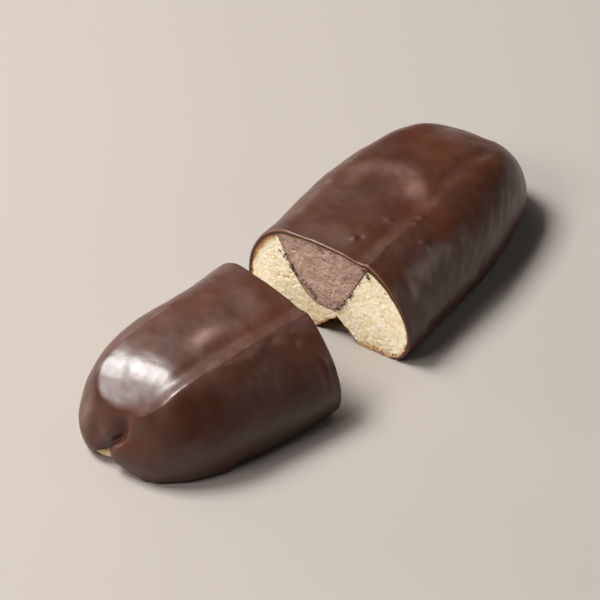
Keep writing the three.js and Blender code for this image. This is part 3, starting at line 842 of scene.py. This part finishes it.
def addMix(nodes, links, factor, a, b):
    node = nodes.new("ShaderNodeMix")
    node.data_type = "RGBA"
    for socket, value in ((node.inputs[0], factor), (node.inputs[6], a), (node.inputs[7], b)):
        if isinstance(value, bpy.types.NodeSocket):
            links.new(value, socket)
        else:
            socket.default_value = value
    return node.outputs[2]


# Bumps laid over each other, given as (height socket, strength, distance in mm).
def addBump(nodes, links, heights, shader):
    normal = None
    for height, strength, distance in heights:
        bump = nodes.new("ShaderNodeBump")
        bump.inputs["Strength"].default_value = strength
        bump.inputs["Distance"].default_value = distance * mm
        links.new(height, bump.inputs["Height"])
        if normal:
            links.new(normal, bump.inputs["Normal"])
        normal = bump.outputs["Normal"]
    links.new(normal, shader.inputs["Normal"])


def addAttribute(nodes, name):
    node = nodes.new("ShaderNodeAttribute")
    node.attribute_name = name
    return node.outputs["Fac"]


def objectPlace(nodes):
    return nodes.new("ShaderNodeTexCoord").outputs["Object"]


# colours as the screen shows them, sizes in mm, bumps as (strength, depth in mm)
chocolateLook = {
    # pale is the colour of the painted sheen and reflections, and of a faint bloom
    "deep": (56, 30, 20), "main": (64, 33, 20), "warm": (71, 35, 18), "pale": (132, 102, 92),
    # edge is the light brown of the painted highlight on the top rim of the cut wall
    "edge": (128, 86, 68), "inside": (62, 33, 22), "cloudSize": 16, "cloudLevels": (0.34, 0.52, 0.72),
    "roughness": (0.32, 0.42), "hazeSize": 5, "hazeRange": (0.3, 0.7),
    "specular": 0.5, "gloss": 0.1, "glossRoughness": 0.2,
    "wavesSize": 2.2, "waves": (0.25, 0.12), "grainSize": 0.5, "grain": (0.2, 0.03),
}


def chocolateMaterial():
    look = chocolateLook
    material, nodes, links, shader = newMaterial("darkChocolate")
    at = objectPlace(nodes)
    cloud = addNoise(nodes, links, at, look["cloudSize"], detail=5, roughness=0.6, distortion=0.4)
    colour = addRamp(nodes, links, cloud, look, ("deep", "main", "warm"), look["cloudLevels"])
    # pale lays painted sheen and reflections over a faint bloom, edge a painted highlight on the cut wall's top rim
    for name in ("pale", "edge", "inside"):
        colour = addMix(nodes, links, addAttribute(nodes, name), colour, linear(*look[name]))
    links.new(colour, shader.inputs["Base Color"])
    haze = addNoise(nodes, links, at, look["hazeSize"])
    links.new(addRange(nodes, links, haze, *look["hazeRange"], *look["roughness"]), shader.inputs["Roughness"])
    shader.inputs["Specular IOR Level"].default_value = look["specular"]
    shader.inputs["Coat Weight"].default_value = look["gloss"]
    shader.inputs["Coat Roughness"].default_value = look["glossRoughness"]
    waves = addNoise(nodes, links, at, look["wavesSize"], detail=3)
    grain = addNoise(nodes, links, at, look["grainSize"], detail=3)
    addBump(nodes, links, [(waves, *look["waves"]), (grain, *look["grain"])], shader)
    return material


spongeLook = {
    "crumb": (240, 229, 202), "pale": (246, 240, 220), "gold": (230, 212, 174), "grain": (230, 208, 158),
    # the darker pore colour is a painted shade for the pores
    "poreShade": (204, 176, 122), "crust": (200, 146, 90), "toast": (146, 98, 58),
    "softSize": 3.5, "softLevels": (0.3, 0.5, 0.7), "grainSize": 1.0, "grainRange": (0.55, 0.4, 0, 0.6),
    "fineSize": 0.45, "fineRange": (0.42, 0.28, 0, 0.6), "crustSize": 1.6, "crustLevels": (0.35, 0.65),
    "roughness": 0.9, "specular": 0.2, "grainBump": (0.22, 0.2), "fineBump": (0.4, 0.1),
}


def spongeMaterial():
    look = spongeLook
    material, nodes, links, shader = newMaterial("spongeCake")
    at = objectPlace(nodes)
    soft = addNoise(nodes, links, at, look["softSize"], detail=5)
    colour = addRamp(nodes, links, soft, look, ("gold", "crumb", "pale"), look["softLevels"])
    grains = addNoise(nodes, links, at, look["grainSize"], detail=3, roughness=0.6)
    share = addRange(nodes, links, grains, *look["grainRange"])
    colour = addMix(nodes, links, share, colour, linear(*look["grain"]))
    # Fine speckles and the pits take the darker pore colour: painted shade of the pores.
    fine = addNoise(nodes, links, at, look["fineSize"], detail=3, roughness=0.6)
    share = addRange(nodes, links, fine, *look["fineRange"])
    colour = addMix(nodes, links, share, colour, linear(*look["poreShade"]))
    colour = addMix(nodes, links, addAttribute(nodes, "poreShade"), colour, linear(*look["poreShade"]))
    patches = addNoise(nodes, links, at, look["crustSize"])
    brown = addRamp(nodes, links, patches, look, ("toast", "crust"), look["crustLevels"])
    colour = addMix(nodes, links, addAttribute(nodes, "crust"), colour, brown)
    links.new(colour, shader.inputs["Base Color"])
    shader.inputs["Roughness"].default_value = look["roughness"]
    shader.inputs["Specular IOR Level"].default_value = look["specular"]
    addBump(nodes, links, [(grains, *look["grainBump"]), (fine, *look["fineBump"])], shader)
    return material


creamLook = {
    # the darkest colour is for crumbs and for the painted shade in the pits and along the borders
    "main": (172, 141, 127), "dark": (150, 119, 105), "light": (192, 163, 150), "shadeAndCrumbs": (84, 54, 42),
    "softSize": 4, "softLevels": (0.32, 0.5, 0.7), "speckleSize": 0.5,
    "darkRange": (0.42, 0.3, 0, 0.5), "lightRange": (0.6, 0.72, 0, 0.5), "roughness": 0.5,
    "wavesSize": 1.4, "waves": (0.5, 0.3), "speckleBump": (0.4, 0.1),
}


def creamMaterial():
    look = creamLook
    material, nodes, links, shader = newMaterial("chocolateCream")
    at = objectPlace(nodes)
    soft = addNoise(nodes, links, at, look["softSize"])
    colour = addRamp(nodes, links, soft, look, ("dark", "main", "light"), look["softLevels"])
    speckle = addNoise(nodes, links, at, look["speckleSize"], detail=3, roughness=0.6)
    for name in ("dark", "light"):
        share = addRange(nodes, links, speckle, *look[name + "Range"])
        colour = addMix(nodes, links, share, colour, linear(*look[name]))
    # dark crumbs and painted shade along the borders and in the pits
    colour = addMix(nodes, links, addAttribute(nodes, "shadeAndCrumbs"), colour, linear(*look["shadeAndCrumbs"]))
    links.new(colour, shader.inputs["Base Color"])
    shader.inputs["Roughness"].default_value = look["roughness"]
    waves = addNoise(nodes, links, at, look["wavesSize"])
    addBump(nodes, links, [(waves, *look["waves"]), (speckle, *look["speckleBump"])], shader)
    return material


# degrees and millimetres; right and up shift the aim so that the bun sits as in the photograph
view = {
    "azimuth": 56.07, "elevation": 39.84, "distance": 1392.3, "pixelsPerMm": 3.9208, "frame": 600, "sensor": 36,
    "axis": (0, 0, 14.42), "right": 7.35, "up": 2.83,
    "nearest": 0.05, "farthest": 20,  # what the camera sees, in metres
}


def makeCamera():
    a, e = math.radians(view["azimuth"]), math.radians(view["elevation"])
    right = Vector((math.cos(a), -math.sin(a), 0))
    away = Vector((math.sin(a), math.cos(a), 0))
    ahead = away * math.cos(e) - Vector((0, 0, math.sin(e)))
    upward = away * math.sin(e) + Vector((0, 0, math.cos(e)))
    axis = Vector(view["axis"]) + Vector((cut["x"], cut["y"], 0))
    stand = axis - view["distance"] * ahead
    aim = axis - view["right"] * right - view["up"] * upward
    ahead = (aim - stand).normalized()
    right = (right - right.dot(ahead) * ahead).normalized()
    upward = right.cross(ahead)
    data = bpy.data.cameras.new("camera")
    data.sensor_width = view["sensor"]
    data.lens = view["pixelsPerMm"] * view["distance"] / view["frame"] * view["sensor"]
    data.clip_start, data.clip_end = view["nearest"], view["farthest"]
    camera = bpy.data.objects.new("camera", data)
    axes = Matrix((right, upward, -ahead)).transposed().to_4x4()
    camera.matrix_world = Matrix.Translation(stand * mm) @ axes
    bpy.context.scene.collection.objects.link(camera)
    bpy.context.scene.camera = camera


# azimuth and elevation that each lamp shines from, in degrees; distance and size in metres, power in watts
lamps = {
    "main": {"from": (112, 60), "distance": 1.1, "size": (0.5, 0.38), "power": 23.5, "colour": (1, 0.98, 0.96)},
    "behind": {"from": (90, 16), "distance": 1.1, "size": (0.36, 0.36), "power": 2.6, "colour": (1, 0.97, 0.95)},
    "low": {"from": (60, 20), "distance": 1.1, "size": (0.36, 0.5), "power": 1.2, "colour": (1, 0.96, 0.94)},
    "back": {"from": (52, 52), "distance": 1.1, "size": (0.5, 0.4), "power": 0.8, "colour": (1, 0.96, 0.94)},
    "left": {"from": (160, 43), "distance": 1.1, "size": (0.4, 0.36), "power": 7, "colour": (1, 0.98, 0.96)},
    "right": {"from": (300, 16), "distance": 1.1, "size": (0.36, 0.36), "power": 1.0, "colour": (1, 0.92, 0.86)},
    "top": {"from": (310, 58), "distance": 1.0, "size": (0.3, 0.3), "power": 0.5, "colour": (1, 0.98, 0.98)},
}


def makeLamp(name, lamp):
    data = bpy.data.lights.new(name, "AREA")
    data.shape = "RECTANGLE"
    data.size, data.size_y = lamp["size"]
    data.energy = lamp["power"]
    data.color = lamp["colour"]
    light = bpy.data.objects.new(name, data)
    a, e = (math.radians(number) for number in lamp["from"])
    direction = Vector((math.cos(a) * math.cos(e), math.sin(a) * math.cos(e), math.sin(e)))
    level = Vector((0, 0, 1)).cross(direction).normalized()
    axes = Matrix((level, direction.cross(level), direction)).transposed().to_4x4()
    light.matrix_world = Matrix.Translation(direction * lamp["distance"]) @ axes
    bpy.context.scene.collection.objects.link(light)


floor = {"size": 3.0, "colour": (148, 141, 135), "roughness": 0.9, "specular": 0.1}
world = {"colour": (1, 0.98, 0.96, 1), "strength": 0.02}


def makeFloor():
    bm = bmesh.new()
    bmesh.ops.create_grid(bm, x_segments=1, y_segments=1, size=floor["size"])
    mesh = bpy.data.meshes.new("floor")
    bm.to_mesh(mesh)
    bm.free()
    table = bpy.data.objects.new("floor", mesh)
    bpy.context.scene.collection.objects.link(table)
    material, nodes, links, shader = newMaterial("paleFloor")
    shader.inputs["Base Color"].default_value = linear(*floor["colour"])
    shader.inputs["Roughness"].default_value = floor["roughness"]
    shader.inputs["Specular IOR Level"].default_value = floor["specular"]
    mesh.materials.append(material)


def makeWorld():
    sky = bpy.data.worlds.new("studio")
    sky.use_nodes = True
    background = sky.node_tree.nodes["Background"]
    background.inputs["Color"].default_value = world["colour"]
    background.inputs["Strength"].default_value = world["strength"]
    bpy.context.scene.world = sky
    bpy.context.scene.view_settings.view_transform = "Standard"


makeCamera()
makeWorld()
makeFloor()
for name, lamp in lamps.items():
    makeLamp(name, lamp)
print("studio ready")

chocolate, cake, filling = chocolateMaterial(), spongeMaterial(), creamMaterial()
print("materials ready")
for half in (rearHalf, frontHalf):
    makeCoat(half, chocolate)
    makeSponge(half, cake)
    makeCream(half, filling)
    makeCrumbs(half, chocolate)
